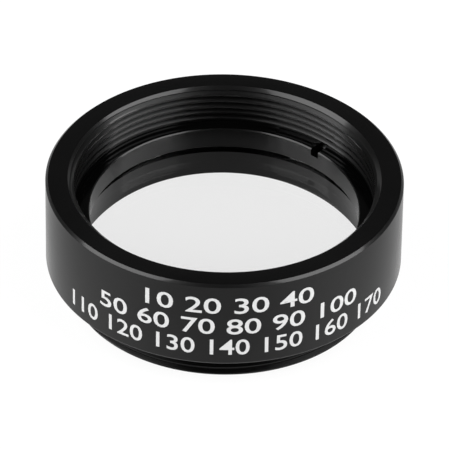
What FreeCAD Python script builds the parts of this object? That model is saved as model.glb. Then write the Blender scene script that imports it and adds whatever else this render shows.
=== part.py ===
# Mounted biconvex lens: a glass lens held in a threaded metal cell by a slotted ring.
# Lengths are in millimetres. Z is the optical axis, and points out of the cell's mouth.
# The origin is the centre of the spigot's end face, which the mount stands on.
import FreeCAD, Part
import math
import os

os.makedirs("parts", exist_ok=True)

# Lens: equal spherical faces, ground edge, small bevels
lens_diameter = 25.4
lens_thickness = 3.6          # at the centre
lens_face_radius = 102.4      # for a focal length of 100 in crown glass
lens_bevel = 0.15

# Thread: one 60 degree form, inside the cell, on the ring and on the spigot
thread_pitch = 0.635          # 40 turns to the inch
thread_flank_angle = 30       # degrees between a flank and the turning plane
thread_start = 0.327          # below the ring's face, where the mouth's thread begins at X
thread_overcut = 0.1          # how far the groove's cutter reaches past the crests
lens_clearance = 0.1          # between the lens's edge and the thread's crests
ring_thread_clearance = 0.04  # between the ring and the cell, at the pitch line

# Cell
cell_wall = 2.096             # outside the thread's roots, for a body 30.48 across
seat_width = 0.7              # how far the seat reaches in under the lens
seat_thickness = 0.8          # from the shoulder up to the seat
ring_depth = 3.37             # from the rim down to the ring's face
mouth_chamfer = 0.54          # countersink at the start of the thread
body_edge_break = 0.22
fine_edge_break = 0.1

# Spigot: the outside thread, up to the shoulder
spigot_length = 2.75

# Retaining ring
ring_thickness = 1.95
ring_overlap = 1.18           # how far the ring covers the lens's rim
slot_width = 0.82
slot_depth = 0.66
slot_angle = 47.8             # degrees from X, where the driver's slot crosses the ring

# Radii
lens_radius = lens_diameter / 2
thread_depth = 5 / 8 * math.sqrt(3) / 2 * thread_pitch
crest_radius = lens_radius + lens_clearance
root_radius = crest_radius + thread_depth
pitch_line_radius = root_radius - 3 / 8 * math.sqrt(3) / 2 * thread_pitch
bore_radius = lens_radius - seat_width
body_radius = root_radius + cell_wall
mouth_radius = crest_radius + mouth_chamfer
spigot_radius = root_radius
ring_bore_radius = lens_radius - ring_overlap
ring_foot_radius = ring_bore_radius + fine_edge_break


def sag(radius):
    """Return how far a lens face falls back from its crown at this radius."""
    return lens_face_radius - math.sqrt(lens_face_radius ** 2 - radius ** 2)


# Heights: the lens rests on the seat's inner edge, and the ring's foot rests on the lens
seat_height = spigot_length + seat_thickness
lens_bottom = seat_height - sag(bore_radius)
lens_top = lens_bottom + lens_thickness
ring_bottom = lens_top - sag(ring_foot_radius)
ring_top = ring_bottom + ring_thickness
rim_height = ring_top + ring_depth
engaged_bottom = ring_bottom - thread_pitch / 2
engaged_top = ring_top + thread_pitch / 4


def point(radius, height):
    """Return the point of the XZ half plane at this radius and height."""
    return FreeCAD.Vector(radius, 0, height)


def turned(wire):
    """Return the solid that a closed outline sweeps in one turn about Z."""
    return Part.Face(wire).revolve(FreeCAD.Vector(), FreeCAD.Vector(0, 0, 1), 360)


def turned_outline(corners):
    """Return the turned solid of a closed outline of (radius, height) corners."""
    points = [point(radius, height) for radius, height in corners]
    return turned(Part.makePolygon(points + points[:1]))


def mouth_thread():
    """The helical groove of the mouth's thread, from behind the ring up to the rim.

    Each turn is a cutter of its own that starts at X, so that every cut is a simple one.
    """
    inner_radius = crest_radius - thread_overcut
    half_root = thread_pitch / 16
    half_mouth = half_root + (root_radius - inner_radius) * math.tan(math.radians(thread_flank_angle))
    cutters = []
    start = ring_top - thread_start
    while start < rim_height - fine_edge_break:
        section = Part.makePolygon([
            point(inner_radius, start - half_mouth),
            point(root_radius, start - half_root),
            point(root_radius, start + half_root),
            point(inner_radius, start + half_mouth),
            point(inner_radius, start - half_mouth),
        ])
        helix = Part.makeHelix(thread_pitch, min(thread_pitch, rim_height - start), crest_radius)
        helix.translate(FreeCAD.Vector(0, 0, start))
        cutters.append(Part.Wire(helix).makePipeShell([section], True, True))
        start += thread_pitch
    return cutters


def housing():
    """The cell: spigot, shoulder, body, threaded mouth and the seat under the lens."""
    spigot = [
        (bore_radius + fine_edge_break, 0),
        (spigot_radius - fine_edge_break, 0),
        (spigot_radius, fine_edge_break),
        (spigot_radius, spigot_length),
    ]
    body = [
        (body_radius - body_edge_break, spigot_length),
        (body_radius, spigot_length + body_edge_break),
        (body_radius, rim_height - body_edge_break),
        (body_radius - body_edge_break, rim_height),
    ]
    bores = [
        (crest_radius, rim_height),
        (crest_radius, seat_height),
        (bore_radius, seat_height),
        (bore_radius, fine_edge_break),
    ]
    cell = turned_outline(spigot + body + bores)
    for cutter in mouth_thread():
        cell = cell.cut(cutter)

    # The countersink is cut after the thread, and so trims the first turn
    countersink = turned_outline([
        (bore_radius, rim_height - mouth_radius + bore_radius),
        (body_radius, rim_height - mouth_radius + body_radius),
        (bore_radius, rim_height - mouth_radius + body_radius),
    ])
    # Behind the ring the two meshed threads are plain walls either side of the pitch line
    engaged_radius = pitch_line_radius + ring_thread_clearance / 2
    engaged = turned_outline([
        (bore_radius, engaged_bottom),
        (engaged_radius, engaged_bottom),
        (engaged_radius, engaged_top),
        (bore_radius, engaged_top),
    ])
    return cell.cut(countersink).cut(engaged)


def retaining_ring():
    """The threaded ring that clamps the lens, with a driver's slot across its face."""
    outer_radius = pitch_line_radius - ring_thread_clearance / 2
    ring = turned_outline([
        (ring_foot_radius, ring_bottom),
        (outer_radius - fine_edge_break, ring_bottom),
        (outer_radius, ring_bottom + fine_edge_break),
        (outer_radius, ring_top - fine_edge_break),
        (outer_radius - fine_edge_break, ring_top),
        (ring_bore_radius + fine_edge_break, ring_top),
        (ring_bore_radius, ring_top - fine_edge_break),
        (ring_bore_radius, ring_bottom + fine_edge_break),
    ])
    corner = FreeCAD.Vector(-outer_radius, -slot_width / 2, ring_top - slot_depth)
    slot = Part.makeBox(2 * outer_radius, slot_width, slot_depth, corner)
    slot.rotate(FreeCAD.Vector(), FreeCAD.Vector(0, 0, 1), slot_angle)
    return ring.cut(slot)


def lens():
    """The biconvex lens: two spherical faces, bevels and the ground edge between them."""
    face_edge = lens_radius - lens_bevel
    top_edge = lens_top - sag(face_edge)
    bottom_edge = lens_bottom + sag(face_edge)
    blank = turned_outline([
        (0, lens_bottom),
        (face_edge, lens_bottom),
        (face_edge, bottom_edge),
        (lens_radius, bottom_edge + lens_bevel),
        (lens_radius, top_edge - lens_bevel),
        (face_edge, top_edge),
        (face_edge, lens_top),
        (0, lens_top),
    ])
    # The balls' poles and seams lie well off the two faces that they make
    upper_centre = FreeCAD.Vector(0, 0, lens_top - lens_face_radius)
    lower_centre = FreeCAD.Vector(0, 0, lens_bottom + lens_face_radius)
    upper_ball = Part.makeSphere(lens_face_radius, upper_centre, FreeCAD.Vector(-1, 0, 0))
    lower_ball = Part.makeSphere(lens_face_radius, lower_centre, FreeCAD.Vector(1, 0, 0))
    return blank.common(upper_ball).common(lower_ball)


pieces = {
    "housing": housing(),
    "lens": lens(),
    "retaining_ring": retaining_ring(),
}

for name, shape in pieces.items():
    shape.exportStep(f"parts/{name}.step")
    box = shape.optimalBoundingBox(False)
    print(name, shape.isValid(), len(shape.Solids), "volume", round(shape.Volume, 2))
    print("  height", round(box.ZMin, 3), "to", round(box.ZMax, 3), "across", round(box.XLength, 3))
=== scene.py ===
"""A biconvex lens in a black anodised cell, dressed for the camera.

The frame's boxes give the sizes. Lengths are in metres, and Z is the optical axis.
Every metal piece is made as it is on a lathe: an outline is turned, its threads are cut,
and the ring's slot is milled, each by a Geometry Nodes tree of its own.
"""
import bpy
import math
from mathutils import Matrix, Vector


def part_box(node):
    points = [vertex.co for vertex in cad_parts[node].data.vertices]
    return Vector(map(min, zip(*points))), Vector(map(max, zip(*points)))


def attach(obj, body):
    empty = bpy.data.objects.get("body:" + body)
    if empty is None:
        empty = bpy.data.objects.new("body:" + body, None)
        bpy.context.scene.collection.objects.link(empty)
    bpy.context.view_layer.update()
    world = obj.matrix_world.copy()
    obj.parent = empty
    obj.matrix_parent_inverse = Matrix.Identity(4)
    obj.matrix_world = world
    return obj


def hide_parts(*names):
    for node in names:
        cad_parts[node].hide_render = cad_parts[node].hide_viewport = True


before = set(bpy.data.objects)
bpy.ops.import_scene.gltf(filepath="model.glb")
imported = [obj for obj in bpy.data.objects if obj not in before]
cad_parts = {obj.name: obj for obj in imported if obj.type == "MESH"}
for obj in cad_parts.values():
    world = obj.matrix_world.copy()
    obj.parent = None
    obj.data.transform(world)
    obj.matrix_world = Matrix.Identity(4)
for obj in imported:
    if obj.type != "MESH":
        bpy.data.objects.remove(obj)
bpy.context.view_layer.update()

MM = 0.001

# Sizes read from the frame
cell_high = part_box("housing")[1]
lens_low, lens_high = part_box("lens")
ring_low, ring_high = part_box("retaining_ring")
body_radius, rim_height = cell_high[0], cell_high[2]
lens_radius, lens_bottom, lens_top = lens_high[0], lens_low[2], lens_high[2]
ring_radius, ring_bottom, ring_top = ring_high[0], ring_low[2], ring_high[2]

# Cell
mark_film = 0.006 * MM            # the marks lie this far above the black wall
wall_radius = body_radius - mark_film
spigot_length = 2.75 * MM
seat_height = 3.55 * MM
bore_radius = 12.0 * MM
mouth_radius = 13.34 * MM
body_edge_break = 0.22 * MM
fine_edge_break = 0.1 * MM
edge_round = 0.04 * MM            # left by deburring, on the turned corners
lower_edge_round = 0.25 * MM      # at the body's lower edge

# Thread: one 60 degree form, right-hand
pitch = 0.635 * MM
thread_depth = 5 / 8 * math.sqrt(3) / 2 * pitch
lens_clearance = 0.1 * MM         # between the lens's edge and the thread's crests
crest_radius = lens_radius + lens_clearance
root_radius = crest_radius + thread_depth
narrow_flat = 1 / 8               # share of the pitch, at the thread's outer radius
wide_flat = 1 / 4                 # share of the pitch, at its inner radius
flank_share = 5 / 16              # share of the pitch that one flank takes up
rows_per_pitch = 16               # the corners of the thread form fall on these rows
mouth_root_height = 10.581 * MM   # a groove's middle, in the direction of X
spigot_root_height = 1.3 * MM
ring_play = 0.04 * MM             # between the ring's thread and the cell's

# Ring
ring_bore_radius = 11.52 * MM
slot_width = 0.82 * MM
slot_depth = 0.66 * MM
slot_angle = math.radians(47.8)
slot_length = 2.2 * ring_radius   # the mill runs past the ring on both sides

# Lens
face_radius = 102.4 * MM
lens_bevel = 0.15 * MM
face_rings = 36

# Marks: rows of plain numbers round the wall, (words, height of the row's middle, arc length)
cap_height = 1.62 * MM
rows_of_numbers = [
    ("10 20 30 40", 8.97 * MM, 14.6 * MM),
    ("50 60 70 80 90 100", 6.81 * MM, 23.8 * MM),
    ("110 120 130 140 150 160 170", 4.66 * MM, 31.1 * MM),
]
marks_angle = math.radians(272.4)
mark_half = 2 * mark_film         # half the marks' thickness, most of which lies in the wall
stroke_gain = 0.012               # share of the height that each stroke's edge is pushed out
font_cap_share = 0.7              # height of a figure as a share of the font's size

# Meshes
around = 288                      # flats round each turned piece
corner_steps = 3                  # flats round each rounded corner
crisp_corner = math.radians(32)   # a sharper turn than this stays crisp when faces are smoothed
joining_gap = 1e-7                # points nearer than this are joined


# Node helpers

def add(tree, kind, inputs=None, **settings):
    """Add a node, then set or link its inputs by name or number."""
    made = tree.nodes.new(kind)
    for name, value in settings.items():
        setattr(made, name, value)
    for name, value in (inputs or {}).items():
        socket = made.inputs[name]
        if isinstance(value, bpy.types.NodeSocket):
            tree.links.new(value, socket)
        else:
            socket.default_value = value
    return made


def calc(tree, operation, *values, clamp=False):
    """Return the result of a Math node on sockets or numbers."""
    made = add(tree, "ShaderNodeMath", dict(enumerate(values)), operation=operation)
    made.use_clamp = clamp
    return made.outputs[0]


def new_tree(name, kind, inputs, outputs):
    """Return a node tree with these sockets, and its input and output nodes."""
    tree = bpy.data.node_groups.new(name, kind)
    for label, socket, default in inputs:
        made = tree.interface.new_socket(label, in_out="INPUT", socket_type=socket)
        if default is not None:
            made.default_value = default
    for label, socket in outputs:
        tree.interface.new_socket(label, in_out="OUTPUT", socket_type=socket)
    return tree, tree.nodes.new("NodeGroupInput"), tree.nodes.new("NodeGroupOutput")


def named(tree, name):
    """Return the value of a float attribute."""
    return add(tree, "GeometryNodeInputNamedAttribute", {"Name": name}, data_type="FLOAT").outputs[0]


def place_round(tree, geometry, radius, height, turn, selection=True):
    """Move points to this radius and height, this share of a turn round Z."""
    angle = calc(tree, "MULTIPLY", turn, 2 * math.pi)
    place = add(tree, "ShaderNodeCombineXYZ", {
        "X": calc(tree, "MULTIPLY", radius, calc(tree, "COSINE", angle)),
        "Y": calc(tree, "MULTIPLY", radius, calc(tree, "SINE", angle)),
        "Z": height,
    })
    moved = add(tree, "GeometryNodeSetPosition", {
        "Geometry": geometry, "Selection": selection, "Position": place.outputs[0],
    })
    return moved.outputs[0]


# Geometry trees

def turning_tree():
    """An outline of points with a radius and a height, swept once round Z."""
    tree, source, out = new_tree("Turn Outline", "GeometryNodeTree", [
        ("Outline", "NodeSocketGeometry", None),
        ("Flats", "NodeSocketInt", 64),
    ], [("Geometry", "NodeSocketGeometry")])
    flats = source.outputs["Flats"]
    line = add(tree, "GeometryNodeCurvePrimitiveLine")
    rail = add(tree, "GeometryNodeResampleCurve", {
        "Curve": line.outputs[0], "Count": calc(tree, "ADD", flats, 1),
    })
    index = tree.nodes.new("GeometryNodeInputIndex").outputs[0]
    turned = add(tree, "GeometryNodeStoreNamedAttribute", {
        "Geometry": rail.outputs[0], "Name": "turn",
        "Value": calc(tree, "DIVIDE", index, flats),
    }, data_type="FLOAT", domain="POINT")
    outline = add(tree, "GeometryNodeMeshToCurve", {"Mesh": source.outputs["Outline"]})
    swept = add(tree, "GeometryNodeCurveToMesh", {
        "Curve": turned.outputs[0], "Profile Curve": outline.outputs[0],
    })
    outward = add(tree, "GeometryNodeFlipFaces", {"Mesh": swept.outputs[0]})
    placed = place_round(
        tree, outward.outputs[0],
        named(tree, "row_radius"), named(tree, "row_height"), named(tree, "turn"))
    tree.links.new(placed, out.inputs[0])
    return tree


def threading_tree():
    """Cut a right-hand thread into the rows of one wall.

    Side is 1 for a thread inside a bore and -1 for one on a shaft, and every radius is
    multiplied by it, so that in both cases the tool that reaches furthest makes the wall.
    Both ends of the wall have a 45 degree cut that meets the wall's end at its own radius.
    """
    tree, source, out = new_tree("Cut Thread", "GeometryNodeTree", [
        ("Geometry", "NodeSocketGeometry", None),
        ("Wall", "NodeSocketString", ""),
        ("Side", "NodeSocketFloat", 1.0),
        ("Crest Radius", "NodeSocketFloat", 0.01),
        ("Depth", "NodeSocketFloat", 0.0003),
        ("Pitch", "NodeSocketFloat", 0.0006),
        ("Root Flat", "NodeSocketFloat", 0.125),
        ("Root Height", "NodeSocketFloat", 0.0),
        ("Bottom", "NodeSocketFloat", 0.0),
        ("Top", "NodeSocketFloat", 0.01),
        ("Bottom Radius", "NodeSocketFloat", 0.01),
        ("Top Radius", "NodeSocketFloat", 0.01),
        ("Bottom Run-out", "NodeSocketFloat", 0.0),
        ("Top Run-out", "NodeSocketFloat", 0.0),
    ], [("Geometry", "NodeSocketGeometry")])
    size = source.outputs
    turn = named(tree, "turn")
    climb = calc(tree, "MULTIPLY", turn, size["Pitch"])
    height = calc(tree, "ADD", named(tree, "row_height"), climb)
    height = calc(tree, "MINIMUM", calc(tree, "MAXIMUM", height, size["Bottom"]), size["Top"])
    above = calc(tree, "SUBTRACT", height, size["Bottom"])
    below = calc(tree, "SUBTRACT", size["Top"], height)

    # How far this point is from the middle of the nearest groove, as a share of the pitch
    along = calc(tree, "SUBTRACT", calc(tree, "SUBTRACT", height, climb), size["Root Height"])
    along = calc(tree, "DIVIDE", along, size["Pitch"])
    off_root = calc(tree, "PINGPONG", along, 0.5)
    flank = add(tree, "ShaderNodeMapRange", {
        "Value": off_root,
        "From Min": calc(tree, "MULTIPLY", size["Root Flat"], 0.5),
        "From Max": calc(tree, "MULTIPLY_ADD", size["Root Flat"], 0.5, flank_share),
        "To Min": 1.0, "To Max": 0.0,
    }).outputs[0]
    # The groove fades out over each run-out, or keeps its depth to the end where that is 0
    before_end = -1e-9
    lower = add(tree, "ShaderNodeMapRange", {
        "Value": above, "From Min": before_end, "From Max": size["Bottom Run-out"],
    }, interpolation_type="SMOOTHSTEP").outputs[0]
    upper = add(tree, "ShaderNodeMapRange", {
        "Value": below, "From Min": before_end, "From Max": size["Top Run-out"],
    }, interpolation_type="SMOOTHSTEP").outputs[0]
    cut = calc(tree, "MULTIPLY", calc(tree, "MULTIPLY", flank, size["Depth"]),
               calc(tree, "MULTIPLY", lower, upper))
    reach = calc(tree, "MULTIPLY_ADD", size["Crest Radius"], size["Side"], cut)
    for label, inward in (("Bottom Radius", above), ("Top Radius", below)):
        end = calc(tree, "MULTIPLY", size[label], size["Side"])
        reach = calc(tree, "MAXIMUM", reach, calc(tree, "SUBTRACT", end, inward))
    radius = calc(tree, "MULTIPLY", reach, size["Side"])
    wall = add(tree, "GeometryNodeInputNamedAttribute", {"Name": size["Wall"]}, data_type="FLOAT")
    rows = calc(tree, "GREATER_THAN", wall.outputs[0], 0.5)
    placed = place_round(tree, size["Geometry"], radius, height, turn, rows)
    tree.links.new(placed, out.inputs[0])
    return tree


def milling_tree():
    """Mill a straight slot right across the top of a piece."""
    tree, source, out = new_tree("Mill Slot", "GeometryNodeTree", [
        ("Geometry", "NodeSocketGeometry", None),
        ("Width", "NodeSocketFloat", 0.001),
        ("Depth", "NodeSocketFloat", 0.001),
        ("Length", "NodeSocketFloat", 0.03),
        ("Top", "NodeSocketFloat", 0.0),
        ("Angle", "NodeSocketFloat", 0.0),
    ], [("Geometry", "NodeSocketGeometry")])
    size = source.outputs
    tall = calc(tree, "MULTIPLY", size["Depth"], 2)
    cutter = add(tree, "GeometryNodeMeshCube", {
        "Size": add(tree, "ShaderNodeCombineXYZ", {
            "X": size["Length"], "Y": size["Width"], "Z": tall,
        }).outputs[0],
    })
    placed = add(tree, "GeometryNodeTransform", {
        "Geometry": cutter.outputs["Mesh"],
        "Translation": add(tree, "ShaderNodeCombineXYZ", {"Z": size["Top"]}).outputs[0],
        "Rotation": add(tree, "ShaderNodeCombineXYZ", {"Z": size["Angle"]}).outputs[0],
    })
    joined = add(tree, "GeometryNodeMergeByDistance", {
        "Geometry": size["Geometry"], "Distance": joining_gap,
    })
    milled = add(tree, "GeometryNodeMeshBoolean", {
        "Mesh 1": joined.outputs[0],
    }, operation="DIFFERENCE", solver="EXACT")
    tree.links.new(placed.outputs[0], milled.inputs["Mesh 2"])
    tree.links.new(milled.outputs[0], out.inputs[0])
    return tree


def finishing_tree():
    """Close the seams and poles, and give the piece its material."""
    tree, source, out = new_tree("Finish Piece", "GeometryNodeTree", [
        ("Geometry", "NodeSocketGeometry", None),
        ("Merge Distance", "NodeSocketFloat", joining_gap),
        ("Material", "NodeSocketMaterial", None),
    ], [("Geometry", "NodeSocketGeometry")])
    merged = add(tree, "GeometryNodeMergeByDistance", {
        "Geometry": source.outputs["Geometry"], "Distance": source.outputs["Merge Distance"],
    })
    real = add(tree, "GeometryNodeRealizeInstances", {"Geometry": merged.outputs[0]})
    painted = add(tree, "GeometryNodeSetMaterial", {
        "Geometry": real.outputs[0], "Material": source.outputs["Material"],
    })
    tree.links.new(painted.outputs[0], out.inputs[0])
    return tree


def wrapping_tree():
    """Lay flat marks round a wall: X becomes the arc and Y the height."""
    tree, source, out = new_tree("Wrap On Wall", "GeometryNodeTree", [
        ("Geometry", "NodeSocketGeometry", None),
        ("Wall Radius", "NodeSocketFloat", 0.01),
        ("Middle Angle", "NodeSocketFloat", 0.0),
        ("Row Height", "NodeSocketFloat", 0.0),
    ], [("Geometry", "NodeSocketGeometry")])
    size = source.outputs
    finer = add(tree, "GeometryNodeSubdivideMesh", {"Mesh": size["Geometry"], "Level": 1})
    flat = add(tree, "ShaderNodeSeparateXYZ", {
        "Vector": tree.nodes.new("GeometryNodeInputPosition").outputs[0],
    }).outputs
    arc = calc(tree, "DIVIDE", flat["X"], size["Wall Radius"])
    angle = calc(tree, "ADD", arc, size["Middle Angle"])
    placed = place_round(
        tree, finer.outputs[0],
        calc(tree, "ADD", flat["Z"], size["Wall Radius"]),
        calc(tree, "ADD", flat["Y"], size["Row Height"]),
        calc(tree, "DIVIDE", angle, 2 * math.pi))
    tree.links.new(placed, out.inputs[0])
    return tree


# Making pieces

def set_up(piece, tree, sizes):
    """Add a Geometry Nodes modifier and give it its sizes."""
    modifier = piece.modifiers.new(tree.name, "NODES")
    modifier.node_group = tree
    for item in tree.interface.items_tree:
        if item.in_out == "INPUT" and item.name in sizes:
            modifier[item.identifier] = sizes[item.name]


def settle(piece):
    """Replace a piece's mesh by what its modifiers make, with smooth faces and crisp corners."""
    bpy.context.view_layer.update()
    graph = bpy.context.evaluated_depsgraph_get()
    mesh = bpy.data.meshes.new_from_object(piece.evaluated_get(graph))
    piece.modifiers.clear()
    piece.data = mesh
    for name in ("row_radius", "row_height", "turn", "inner_thread", "outer_thread"):
        if name in mesh.attributes:
            mesh.attributes.remove(mesh.attributes[name])
    mesh.shade_smooth()
    mesh.set_sharp_from_angle(angle=crisp_corner)


def outline_piece(name, points, closed=True):
    """Return an object that holds an outline. Each point is (radius, height, wall or None)."""
    mesh = bpy.data.meshes.new(name)
    count = len(points)
    edges = [(i, i + 1) for i in range(count - 1)]
    if closed:
        edges.append((count - 1, 0))
    mesh.from_pydata([(radius, 0, height) for radius, height, wall in points], edges, [])
    fields = {
        "row_radius": [radius for radius, height, wall in points],
        "row_height": [height for radius, height, wall in points],
        "inner_thread": [float(wall == "inner_thread") for radius, height, wall in points],
        "outer_thread": [float(wall == "outer_thread") for radius, height, wall in points],
    }
    for label, values in fields.items():
        mesh.attributes.new(label, "FLOAT", "POINT").data.foreach_set("value", values)
    piece = bpy.data.objects.new(name, mesh)
    bpy.context.collection.objects.link(piece)
    return piece


def rounded(corners, size=edge_round):
    """Return plain outline points with every inner corner of the run rounded off."""
    run = [Vector(corner) for corner in corners]
    points = [run[0]]
    for before, corner, after in zip(run, run[1:], run[2:]):
        back = (before - corner).normalized()
        on = (after - corner).normalized()
        opening = back.angle(on)
        room = min((before - corner).length, (after - corner).length) / 2
        reach = min(size / math.tan(opening / 2), room)
        middle = corner + (back + on).normalized() * reach / math.cos(opening / 2)
        spoke = corner + back * reach - middle
        step = math.copysign(math.pi - opening, back.cross(on)) / corner_steps
        points += [middle + Matrix.Rotation(-i * step, 2) @ spoke for i in range(corner_steps + 1)]
    points.append(run[-1])
    return [(point.x, point.y, None) for point in points]


def thread_rows(wall, radius, bottom, top, root_height):
    """Return the rows of a threaded wall, as heights in the direction of X."""
    step = pitch / rows_per_pitch
    first = math.floor((bottom - pitch - root_height) / step)
    last = math.ceil((top - root_height) / step)
    return [(radius, root_height + i * step, wall) for i in range(first, last + 1)]


def thread(wall, side, crest, root_flat, root_height, bottom, top, ends, run_outs=(0, 0)):
    """Return the sizes for one cut of the threading tree."""
    return {
        "Wall": wall, "Side": float(side), "Crest Radius": crest, "Depth": thread_depth,
        "Pitch": pitch, "Root Flat": root_flat, "Root Height": root_height,
        "Bottom": bottom, "Top": top, "Bottom Radius": ends[0], "Top Radius": ends[1],
        "Bottom Run-out": run_outs[0], "Top Run-out": run_outs[1],
    }


turn_outline, cut_thread, mill_slot = turning_tree(), threading_tree(), milling_tree()
finish_piece, wrap_on_wall = finishing_tree(), wrapping_tree()


# Materials

def grey(value):
    """Return this grey as a colour."""
    return value, value, value, 1


def turned_finish():
    """Shader group: the lines a lathe tool leaves, and the fine grain of an anodised film."""
    tree, source, out = new_tree("Turned Finish", "ShaderNodeTree", [
        ("Film", "NodeSocketColor", grey(0.01)),
        ("Worn Film", "NodeSocketColor", grey(0.03)),
        ("Roughness", "NodeSocketFloat", 0.35),
        ("Fine Roughness", "NodeSocketFloat", 0.2),
        ("Fine Bore Radius", "NodeSocketFloat", 0.0),
        ("Roughness Spread", "NodeSocketFloat", 0.08),
        ("Line Spacing", "NodeSocketFloat", 0.00004),
        ("Line Height", "NodeSocketFloat", 0.0000004),
        ("Grain Size", "NodeSocketFloat", 0.00003),
        ("Grain Height", "NodeSocketFloat", 0.0000002),
    ], [
        ("Color", "NodeSocketColor"),
        ("Roughness", "NodeSocketFloat"),
        ("Normal", "NodeSocketVector"),
    ])
    size = source.outputs
    spot = tree.nodes.new("ShaderNodeTexCoord").outputs
    place = spot["Object"]
    parts = add(tree, "ShaderNodeSeparateXYZ", {"Vector": place}).outputs
    squares = [calc(tree, "MULTIPLY", parts[axis], parts[axis]) for axis in ("X", "Y")]
    across = calc(tree, "SQRT", calc(tree, "ADD", *squares))
    section = add(tree, "ShaderNodeCombineXYZ", {"X": across, "Z": parts["Z"]}).outputs[0]
    lines = add(tree, "ShaderNodeTexNoise", {
        "Vector": section, "Scale": calc(tree, "DIVIDE", 1, size["Line Spacing"]),
        "Detail": 1.0, "Roughness": 0.5,
    }).outputs["Fac"]
    grain = add(tree, "ShaderNodeTexNoise", {
        "Vector": place, "Scale": calc(tree, "DIVIDE", 1, size["Grain Size"]),
        "Detail": 2.0, "Roughness": 0.6,
    }).outputs["Fac"]
    clouds = add(tree, "ShaderNodeTexNoise", {
        "Vector": place, "Scale": 260.0, "Detail": 4.0, "Roughness": 0.55,
    }).outputs["Fac"]
    blend = calc(tree, "MULTIPLY_ADD", clouds, 0.6, calc(tree, "MULTIPLY", grain, 0.4))
    colour = add(tree, "ShaderNodeMix", {
        "Factor": blend, "A": size["Film"], "B": size["Worn Film"],
    }, data_type="RGBA")
    spread = calc(tree, "MULTIPLY_ADD", lines, 0.5, calc(tree, "MULTIPLY", blend, 0.5))
    # Flat faces and one bore are cut finer than the rest, with a soft change between
    level = add(tree, "ShaderNodeSeparateXYZ", {"Vector": spot["Normal"]}).outputs["Z"]
    faced = add(tree, "ShaderNodeMapRange", {
        "Value": calc(tree, "ABSOLUTE", level), "From Min": 0.9, "From Max": 0.98,
    }).outputs[0]
    off_bore = calc(tree, "SUBTRACT", across, size["Fine Bore Radius"])
    bored = add(tree, "ShaderNodeMapRange", {
        "Value": calc(tree, "ABSOLUTE", off_bore), "From Min": 0.03 * MM, "From Max": 0.06 * MM,
        "To Min": 1.0, "To Max": 0.0,
    }).outputs[0]
    cut = add(tree, "ShaderNodeMapRange", {
        "Value": calc(tree, "MAXIMUM", faced, bored),
        "To Min": size["Roughness"], "To Max": size["Fine Roughness"],
    }).outputs[0]
    uneven = calc(tree, "SUBTRACT", spread, 0.5)
    rough = calc(tree, "MULTIPLY_ADD", uneven, size["Roughness Spread"], cut)
    tooled = add(tree, "ShaderNodeBump", {
        "Height": lines, "Distance": size["Line Height"], "Strength": 1.0,
    })
    grained = add(tree, "ShaderNodeBump", {
        "Height": grain, "Distance": size["Grain Height"], "Strength": 1.0,
        "Normal": tooled.outputs[0],
    })
    tree.links.new(colour.outputs["Result"], out.inputs["Color"])
    tree.links.new(rough, out.inputs["Roughness"])
    tree.links.new(grained.outputs[0], out.inputs["Normal"])
    return tree


def clear_tree(name):
    """Return a new material, its empty node tree and its output's surface socket."""
    material = bpy.data.materials.new(name)
    material.use_nodes = True
    tree = material.node_tree
    tree.nodes.clear()
    return material, tree, tree.nodes.new("ShaderNodeOutputMaterial").inputs["Surface"]


def anodised(name, values, **sockets):
    """Return an anodised metal with its own values of the turned finish.

    The tool's lines run round Z, and a quarter turn makes light spread across them.
    """
    material, tree, surface = clear_tree(name)
    finish = add(tree, "ShaderNodeGroup", values, node_tree=finish_group)
    round_axis = add(tree, "ShaderNodeTangent", direction_type="RADIAL", axis="Z")
    shader = add(tree, "ShaderNodeBsdfPrincipled", {
        "Base Color": finish.outputs["Color"],
        "Roughness": finish.outputs["Roughness"],
        "Normal": finish.outputs["Normal"],
        "Tangent": round_axis.outputs[0], "Anisotropic": 0.8, "Anisotropic Rotation": 0.25,
        "Coat Weight": 1.0, "Coat Roughness": 0.12, "Coat IOR": 1.22,
        **sockets,
    })
    tree.links.new(shader.outputs[0], surface)
    return material


def lens_glass():
    """Polished, coated glass that lets some of the lamps' light through to the floor under it."""
    material, tree, surface = clear_tree("coated_glass")
    place = tree.nodes.new("ShaderNodeTexCoord").outputs["Object"]
    haze = add(tree, "ShaderNodeTexNoise", {"Vector": place, "Scale": 180.0, "Detail": 5.0})
    rough = add(tree, "ShaderNodeMapRange", {
        "Value": haze.outputs["Fac"], "From Min": 0.45, "From Max": 0.8, "To Min": 0.0, "To Max": 0.012,
    }).outputs[0]
    glass = add(tree, "ShaderNodeBsdfPrincipled", {
        "Base Color": grey(0.985), "Roughness": rough, "IOR": 1.517,
        "Transmission Weight": 1.0, "Specular IOR Level": 0.12,
    })
    passing = add(tree, "ShaderNodeBsdfTransparent", {"Color": grey(0.25)})
    # A ray that came in through the glass and glanced off the seat leaves as dim as the lamps' light
    path = tree.nodes.new("ShaderNodeLightPath").outputs
    glanced = calc(tree, "SUBTRACT", path["Is Glossy Ray"], path["Is Transmission Ray"], clamp=True)
    inside = calc(tree, "MINIMUM", path["Transmission Depth"], 1.0)
    lamplight = calc(tree, "MAXIMUM", path["Is Shadow Ray"], path["Is Diffuse Ray"])
    dimmed = calc(tree, "MAXIMUM", calc(tree, "MULTIPLY", glanced, inside), lamplight)
    mixed = add(tree, "ShaderNodeMixShader", {0: dimmed, 1: glass.outputs[0], 2: passing.outputs[0]})
    tree.links.new(mixed.outputs[0], surface)
    return material


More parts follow.
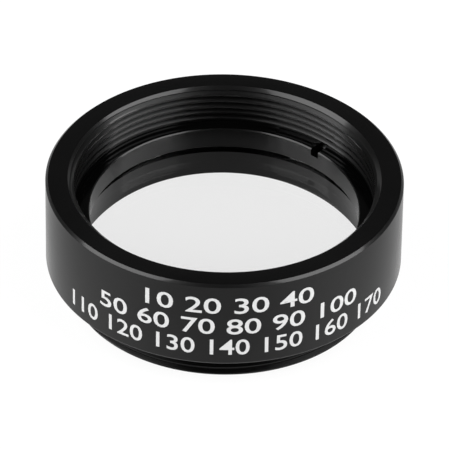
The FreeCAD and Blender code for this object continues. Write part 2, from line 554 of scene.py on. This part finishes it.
def marking():
    """Light marks with the fine sideways hatching that cut them through the black film."""
    material, tree, surface = clear_tree("white_marking")
    place = tree.nodes.new("ShaderNodeTexCoord").outputs["Object"]
    parts = add(tree, "ShaderNodeSeparateXYZ", {"Vector": place}).outputs
    hatch = calc(tree, "PINGPONG", calc(tree, "DIVIDE", parts["Z"], 0.05 * MM), 0.5)
    speckle = add(tree, "ShaderNodeTexNoise", {"Vector": place, "Scale": 22000.0, "Detail": 2.0})
    speckle = calc(tree, "MULTIPLY", speckle.outputs["Fac"], 0.7)
    blend = calc(tree, "MULTIPLY_ADD", hatch, 0.5, speckle, clamp=True)
    colour = add(tree, "ShaderNodeMix", {
        "Factor": blend, "A": grey(0.4), "B": grey(0.5),
    }, data_type="RGBA")
    bump = add(tree, "ShaderNodeBump", {"Height": blend, "Distance": 0.002 * MM})
    shader = add(tree, "ShaderNodeBsdfPrincipled", {
        "Base Color": colour.outputs["Result"], "Roughness": 0.6, "Normal": bump.outputs[0],
    })
    tree.links.new(shader.outputs[0], surface)
    return material


finish_group = turned_finish()
cell_black = anodised("black_anodised_cell", {
    "Film": grey(0.001), "Worn Film": grey(0.0025),
    "Roughness": 0.42, "Fine Roughness": 0.22, "Roughness Spread": 0.1,
    "Fine Bore Radius": crest_radius,
    "Line Spacing": 0.05 * MM, "Line Height": 0.0003 * MM,
    "Grain Size": 0.03 * MM, "Grain Height": 0.0002 * MM,
}, IOR=1.31)
ring_black = anodised("black_anodised_ring", {
    "Film": grey(0.0003), "Worn Film": grey(0.001),
    "Roughness": 0.42, "Fine Roughness": 0.12, "Roughness Spread": 0.1,
    "Line Spacing": 0.06 * MM, "Line Height": 0.0003 * MM,
    "Grain Size": 0.03 * MM, "Grain Height": 0.0002 * MM,
}, IOR=1.26)
glass, white = lens_glass(), marking()


# The pieces

def make_cell():
    """The cell: spigot thread, shoulder, wall, countersunk mouth, thread and seat."""
    thread_top = rim_height - (mouth_radius - root_radius)
    thread_bottom = ring_bottom - pitch / 2
    end_radius = root_radius - fine_edge_break
    spigot_rows = thread_rows("outer_thread", root_radius, 0, spigot_length, spigot_root_height)
    mouth_rows = thread_rows("inner_thread", crest_radius, thread_bottom, thread_top, mouth_root_height)
    foot = rounded([
        (bore_radius, seat_height),
        (bore_radius, fine_edge_break),
        (bore_radius + fine_edge_break, 0),
        (end_radius, 0),
    ])[1:-1]
    shoulder = rounded([
        (root_radius, spigot_length),
        (wall_radius - body_edge_break, spigot_length),
        (wall_radius, spigot_length + body_edge_break),
        (wall_radius, rim_height - body_edge_break),
    ], size=lower_edge_round)[1:-1]
    body = rounded([
        (wall_radius, spigot_length + body_edge_break),
        (wall_radius, rim_height - body_edge_break),
        (wall_radius - body_edge_break, rim_height),
        (mouth_radius, rim_height),
        (root_radius, thread_top),
    ])[1:-1]
    seat = [(crest_radius, seat_height, None), (bore_radius, seat_height, None)]
    cell = outline_piece("cell", foot + spigot_rows + shoulder + body + mouth_rows[::-1] + seat)
    set_up(cell, turn_outline, {"Flats": around})
    set_up(cell, cut_thread, thread(
        "outer_thread", -1, root_radius, wide_flat, spigot_root_height,
        0, spigot_length, (end_radius, root_radius), (pitch / 2, pitch)))
    set_up(cell, cut_thread, thread(
        "inner_thread", 1, crest_radius, narrow_flat, mouth_root_height,
        thread_bottom, thread_top, (crest_radius, root_radius), (pitch / 2, 0)))
    set_up(cell, finish_piece, {"Material": cell_black})
    settle(cell)
    return cell


def make_ring():
    """The ring: its thread runs in the cell's, and a driver's slot crosses its face."""
    crest = root_radius - ring_play
    end_radius = ring_radius - fine_edge_break
    root_height = mouth_root_height + pitch / 2
    rows = thread_rows("outer_thread", crest, ring_bottom, ring_top, root_height)
    inside = rounded([
        (end_radius, ring_top),
        (ring_bore_radius + fine_edge_break, ring_top),
        (ring_bore_radius, ring_top - fine_edge_break),
        (ring_bore_radius, ring_bottom + fine_edge_break),
        (ring_bore_radius + fine_edge_break, ring_bottom),
        (end_radius, ring_bottom),
    ], size=edge_round / 2)[1:-1]
    ring = outline_piece("clamp_ring", rows + inside)
    set_up(ring, turn_outline, {"Flats": around})
    set_up(ring, cut_thread, thread(
        "outer_thread", -1, crest, wide_flat, root_height,
        ring_bottom, ring_top, (end_radius, end_radius)))
    set_up(ring, mill_slot, {
        "Width": slot_width, "Depth": slot_depth, "Length": slot_length,
        "Top": ring_top, "Angle": slot_angle,
    })
    set_up(ring, finish_piece, {"Material": ring_black})
    settle(ring)
    return ring


def make_lens():
    """The lens: two spherical faces, bevels and the edge between them, which is ground on the real lens
    but here has the faces' glass.
    """
    face_edge = lens_radius - lens_bevel
    sag = [
        (radius, face_radius - math.sqrt(face_radius ** 2 - radius ** 2))
        for radius in (face_edge * i / face_rings for i in range(face_rings + 1))
    ]
    edge_sag = sag[-1][1]
    lower = [(radius, lens_bottom + drop, None) for radius, drop in sag]
    upper = [(radius, lens_top - drop, None) for radius, drop in sag]
    edge = [
        (lens_radius, lens_bottom + edge_sag + lens_bevel, None),
        (lens_radius, lens_top - edge_sag - lens_bevel, None),
    ]
    lens = outline_piece("lens_element", lower + edge + upper[::-1], closed=False)
    set_up(lens, turn_outline, {"Flats": around})
    set_up(lens, finish_piece, {"Material": glass})
    settle(lens)
    return lens


def make_marks():
    """Rows of plain numbers round the wall, joined in one piece."""
    rows = []
    for index, (words, height, arc) in enumerate(rows_of_numbers):
        text = bpy.data.curves.new(f"numbers_{index}", "FONT")
        text.body = words
        text.align_x = "CENTER"
        text.align_y = "CENTER"
        text.size = cap_height / font_cap_share
        text.offset = cap_height * stroke_gain
        text.extrude = mark_half
        text.resolution_u = 4
        flat = bpy.data.objects.new(f"numbers_{index}", text)
        bpy.context.collection.objects.link(flat)
        bpy.context.view_layer.update()
        graph = bpy.context.evaluated_depsgraph_get()
        mesh = bpy.data.meshes.new_from_object(flat.evaluated_get(graph))
        bpy.data.objects.remove(flat)
        spots = [vertex.co for vertex in mesh.vertices]
        left, right = min(spot.x for spot in spots), max(spot.x for spot in spots)
        low, high = min(spot.y for spot in spots), max(spot.y for spot in spots)
        middle = Matrix.Translation((-(left + right) / 2, -(low + high) / 2, 0))
        fit = Matrix.Diagonal((arc / (right - left), cap_height / (high - low), 1, 1))
        mesh.transform(fit @ middle)
        row = bpy.data.objects.new(f"numbers_row_{index}", mesh)
        bpy.context.collection.objects.link(row)
        set_up(row, wrap_on_wall, {
            "Wall Radius": body_radius - mark_half,
            "Middle Angle": marks_angle, "Row Height": height,
        })
        set_up(row, finish_piece, {"Material": white})
        settle(row)
        rows.append(row)
    with bpy.context.temp_override(active_object=rows[0], selected_editable_objects=rows):
        bpy.ops.object.join()
    rows[0].name = "number_marks"
    return rows[0]


cell, ring, lens, marks = make_cell(), make_ring(), make_lens(), make_marks()
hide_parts("housing")
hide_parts("retaining_ring")
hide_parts("lens")
for piece in (cell, ring, lens, marks):
    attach(piece, "root")


# Floor, light and camera

def white_floor():
    """A white floor: lit to white where it is seen, and dimmer where the black metal mirrors it."""
    seen_grey, mirrored_grey = 0.88, 0.22    # of the matte floor
    seen_share, mirrored_share = 0.93, 0.41  # how much of the floor's look is its own light
    material, tree, surface = clear_tree("white_floor")
    path = tree.nodes.new("ShaderNodeLightPath").outputs
    mirrored = calc(tree, "MINIMUM", path["Glossy Depth"], 1.0)
    matte = add(tree, "ShaderNodeBsdfDiffuse", {
        "Color": calc(tree, "MULTIPLY_ADD", mirrored, mirrored_grey - seen_grey, seen_grey),
    })
    lit = add(tree, "ShaderNodeEmission", {"Color": grey(1), "Strength": 1.0})
    bent = calc(tree, "MAXIMUM", path["Is Glossy Ray"], path["Is Transmission Ray"])
    seen = calc(tree, "MAXIMUM", path["Is Camera Ray"], bent)
    share = calc(tree, "MULTIPLY_ADD", mirrored, mirrored_share - seen_share, seen_share)
    mixed = add(tree, "ShaderNodeMixShader", {
        0: calc(tree, "MULTIPLY", seen, share), 1: matte.outputs[0], 2: lit.outputs[0],
    })
    tree.links.new(mixed.outputs[0], surface)
    return material


def make_floor():
    """A wide floor, just under the cell's end face."""
    reach, drop = 4.0, 0.01 * MM
    corners = [(x * reach, y * reach, -drop) for x, y in ((-1, -1), (1, -1), (1, 1), (-1, 1))]
    mesh = bpy.data.meshes.new("floor")
    mesh.from_pydata(corners, [], [(0, 1, 2, 3)])
    mesh.materials.append(white_floor())
    floor = bpy.data.objects.new("floor", mesh)
    bpy.context.collection.objects.link(floor)


def softbox(name, azimuth, lean, radiance):
    """A softbox in this direction, turned to face the lens and leaning to one side."""
    distance, width, height = 1.2, 1.04, 1.1
    azimuth, elevation = math.radians(azimuth), math.radians(43)
    light = bpy.data.lights.new(name, "AREA")
    light.shape = "RECTANGLE"
    light.size, light.size_y = width, height
    light.energy = radiance * math.pi * width * height
    lamp = bpy.data.objects.new(name, light)
    bpy.context.collection.objects.link(lamp)
    sideways = math.cos(elevation)
    way = Vector((math.cos(azimuth) * sideways, math.sin(azimuth) * sideways, math.sin(elevation)))
    lamp.location = way * distance
    facing = way.to_track_quat("Z", "Y").to_matrix()
    lamp.rotation_euler = (facing @ Matrix.Rotation(math.radians(lean), 3, "Z")).to_euler()


def make_world():
    """A dark ceiling above a pale band near the horizon."""
    world = bpy.data.worlds.new("studio")
    bpy.context.scene.world = world
    world.use_nodes = True
    tree = world.node_tree
    tree.nodes.clear()
    way = add(tree, "ShaderNodeSeparateXYZ", {
        "Vector": tree.nodes.new("ShaderNodeTexCoord").outputs["Generated"],
    }).outputs["Z"]
    shade = add(tree, "ShaderNodeMapRange", {
        "Value": way, "From Min": 0.08, "From Max": 0.3, "To Min": 0.5, "To Max": 0.045,
    }, interpolation_type="SMOOTHSTEP").outputs[0]
    sky = add(tree, "ShaderNodeBackground", {"Color": grey(1), "Strength": shade})
    out = tree.nodes.new("ShaderNodeOutputWorld")
    tree.links.new(sky.outputs[0], out.inputs["Surface"])


def make_camera():
    """The photograph's camera: far off with a long lens, looking down at the cell."""
    elevation = math.radians(37.072)
    roll = math.radians(0.84)
    distance = 463.68 * MM
    aim = Vector((0, 0, 5 * MM))
    data = bpy.data.cameras.new("camera")
    data.sensor_fit = "HORIZONTAL"
    data.sensor_width = 36.0
    data.lens = 434.3
    data.shift_x = 0.0015
    data.shift_y = 0.0211
    camera = bpy.data.objects.new("camera", data)
    bpy.context.collection.objects.link(camera)
    camera.location = aim + distance * Vector((0, -math.cos(elevation), math.sin(elevation)))
    turn = Matrix.Rotation(math.pi / 2 - elevation, 3, "X") @ Matrix.Rotation(roll, 3, "Z")
    camera.rotation_euler = turn.to_euler()
    bpy.context.scene.camera = camera


make_floor()
softbox("softbox_right", azimuth=-18, lean=-20, radiance=7.7)
softbox("softbox_left", azimuth=197, lean=20, radiance=7.3)
make_world()
make_camera()
bpy.context.scene.view_settings.view_transform = "Standard"
